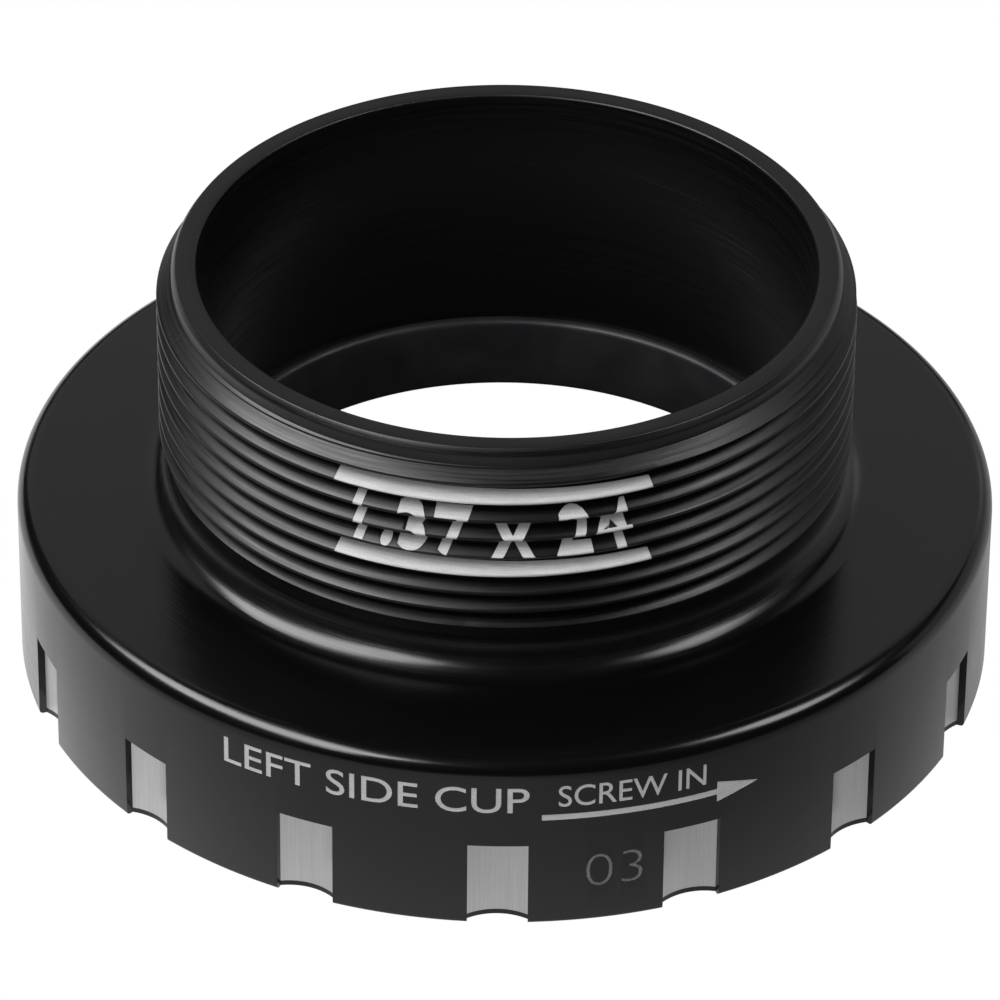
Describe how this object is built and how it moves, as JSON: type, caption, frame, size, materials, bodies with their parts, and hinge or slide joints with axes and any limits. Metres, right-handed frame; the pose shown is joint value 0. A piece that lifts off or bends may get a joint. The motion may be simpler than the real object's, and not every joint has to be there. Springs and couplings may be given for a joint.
{
  "type": "bottom bracket",
  "caption": "Left-side external bottom bracket cup with a notched flange and a threaded sleeve, holding a thin sealed ball bearing for the crank spindle.",
  "frame": {"origin": "centre of the outboard face, on the spindle axis", "axes": "+Z along the spindle axis, inboard, towards the threaded sleeve; -Y is the side that carries the markings"},
  "size_m": [0.0492, 0.0492, 0.0224],
  "materials": {
    "black_anodised": "turned, black anodised, satin gloss, with bare milled notches",
    "black_steel": "ground, black oxide",
    "ball_steel": "polished",
    "cage_nylon": "moulded nylon",
    "seal_rubber": "moulded, matte",
    "black_rubber": "moulded, matte"
  },
  "bodies": {
    "cup": {"cup_body": "black_anodised", "outer_dust_seal": "black_rubber", "bearing_outer_ring": "black_steel", "inboard_bearing_seal": "seal_rubber", "outboard_bearing_seal": "seal_rubber"},
    "inner_ring": {"bearing_inner_ring": "black_steel"},
    "ball_set": {"bearing_cage": "cage_nylon", "bearing_ball_01": "ball_steel", "bearing_ball_02": "ball_steel", "bearing_ball_03": "ball_steel", "bearing_ball_04": "ball_steel", "bearing_ball_05": "ball_steel", "bearing_ball_06": "ball_steel", "bearing_ball_07": "ball_steel", "bearing_ball_08": "ball_steel", "bearing_ball_09": "ball_steel", "bearing_ball_10": "ball_steel", "bearing_ball_11": "ball_steel", "bearing_ball_12": "ball_steel", "bearing_ball_13": "ball_steel", "bearing_ball_14": "ball_steel", "bearing_ball_15": "ball_steel", "bearing_ball_16": "ball_steel", "bearing_ball_17": "ball_steel", "bearing_ball_18": "ball_steel", "bearing_ball_19": "ball_steel", "bearing_ball_20": "ball_steel", "bearing_ball_21": "ball_steel", "bearing_ball_22": "ball_steel", "bearing_ball_23": "ball_steel", "bearing_ball_24": "ball_steel", "bearing_ball_25": "ball_steel", "bearing_ball_26": "ball_steel"}
  },
  "joints": [
    {"name": "inner_ring_spin", "type": "hinge", "parent": "cup", "child": "inner_ring", "pos_m": [0, 0, 0.00675], "axis": [0, 0, 1], "continuous": true},
    {"name": "ball_set_spin", "type": "hinge", "parent": "cup", "child": "ball_set", "pos_m": [0, 0, 0.00675], "axis": [0, 0, 1], "continuous": true}
  ],
  "couplings": [
    {"joint": "ball_set_spin", "follows": "inner_ring_spin", "ratio": 0.47015}
  ]
}
